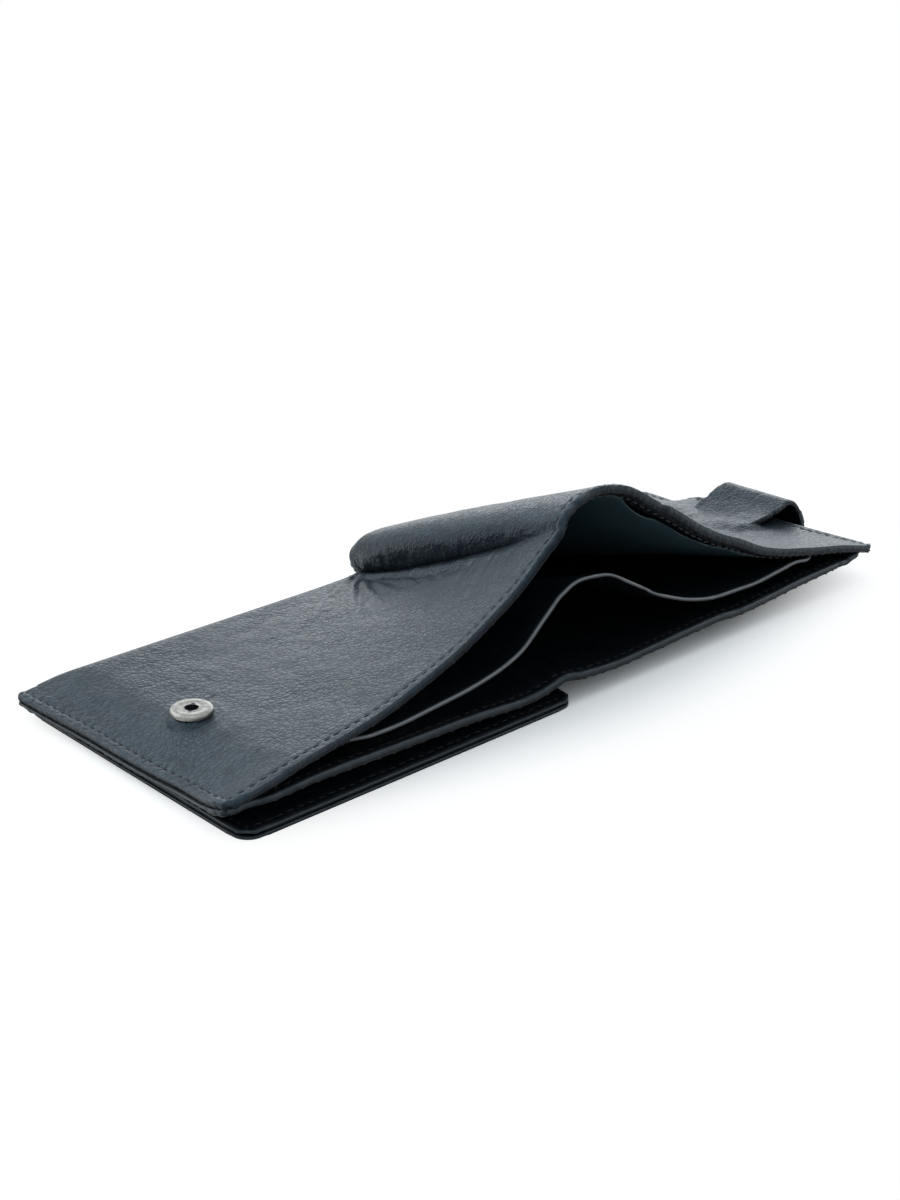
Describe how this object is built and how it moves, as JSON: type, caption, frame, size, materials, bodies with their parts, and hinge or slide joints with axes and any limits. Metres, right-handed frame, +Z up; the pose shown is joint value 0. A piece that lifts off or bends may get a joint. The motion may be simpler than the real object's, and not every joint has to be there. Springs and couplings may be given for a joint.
{
  "type": "leather bifold wallet",
  "caption": "Landscape leather bifold wallet lying open and inside-down, its note compartment gaping, with a hinged inner leaf and a closing strap with a snap.",
  "frame": {"origin": "on the surface it lies on, under the middle of its overall length and depth", "axes": "+X along the open wallet from the half with the snap ring to the half with the strap, +Y from the gaping mouth to the closed long edge, +Z up"},
  "size_m": [0.252, 0.095, 0.0601],
  "materials": {
    "grained_leather": "grained, semi-matt",
    "smooth_leather": "smooth, matt",
    "lining_leather": "smooth, matt",
    "clear_film": "clear",
    "nickel": "satin nickel",
    "dark_nickel": "dark nickel"
  },
  "bodies": {
    "front_half": {"cover_front": "grained_leather", "cover_lining_front": "lining_leather", "divider_front": "smooth_leather", "inner_panel_front": "smooth_leather", "front_pocket": "smooth_leather", "wing_hinge_strip": "smooth_leather", "snap_ring": "nickel", "snap_socket": "dark_nickel"},
    "wing": {"wing_frame": "smooth_leather", "wing_window": "clear_film", "wing_panel": "smooth_leather", "wing_pocket": "smooth_leather"},
    "spine": {"cover_spine": "grained_leather", "cover_lining_spine": "lining_leather", "divider_spine": "smooth_leather", "inner_panel_spine": "smooth_leather"},
    "back_half": {"cover_back": "grained_leather", "cover_lining_back": "lining_leather", "divider_back": "smooth_leather", "inner_panel_back": "smooth_leather", "back_pocket_upper": "smooth_leather", "back_pocket_lower": "smooth_leather", "strap_root": "grained_leather"},
    "strap_lift": {"strap_lift": "grained_leather"},
    "strap_turn": {"strap_turn": "grained_leather"},
    "strap_fold": {"strap_fold": "grained_leather"},
    "strap_end": {"strap_end": "grained_leather", "snap_stud": "nickel", "snap_cap": "nickel"}
  },
  "joints": [
    {"name": "fold_front", "type": "hinge", "parent": "front_half", "child": "spine", "pos_m": [-0.01149, 0, 0.00425], "axis": [0, 1, 0], "range_deg": [0, 90]},
    {"name": "fold_back", "type": "hinge", "parent": "spine", "child": "back_half", "pos_m": [-0.00129, 0, 0.00425], "axis": [0, 1, 0], "range_deg": [0, 90]},
    {"name": "wing_hinge", "type": "hinge", "parent": "front_half", "child": "wing", "pos_m": [-0.07, 0.0477, 0.00325], "axis": [1, 0, 0], "range_deg": [0, 180]},
    {"name": "strap_root_bend", "type": "hinge", "parent": "back_half", "child": "strap_lift", "pos_m": [0.10071, 0, 0.01267], "axis": [0, 1, 0], "range_deg": [0, 6.41]},
    {"name": "strap_swing", "type": "hinge", "parent": "strap_lift", "child": "strap_turn", "pos_m": [0.1177, 0, 0.01458], "axis": [0, 1, 0], "range_deg": [-120, 0]},
    {"name": "strap_fold_bend", "type": "hinge", "parent": "strap_turn", "child": "strap_fold", "pos_m": [0.12519, 0, 0.0042], "axis": [0, 1, 0], "range_deg": [-70.15, 0]},
    {"name": "strap_wrap", "type": "hinge", "parent": "strap_fold", "child": "strap_end", "pos_m": [0.10706, 0, 0.00155], "axis": [0, 1, 0], "range_deg": [0, 63.69]}
  ],
  "couplings": [
    {"joint": "fold_back", "follows": "fold_front", "ratio": 1},
    {"joint": "strap_root_bend", "follows": "strap_wrap", "ratio": 0.10049},
    {"joint": "strap_fold_bend", "follows": "strap_wrap", "ratio": -1.1005}
  ]
}
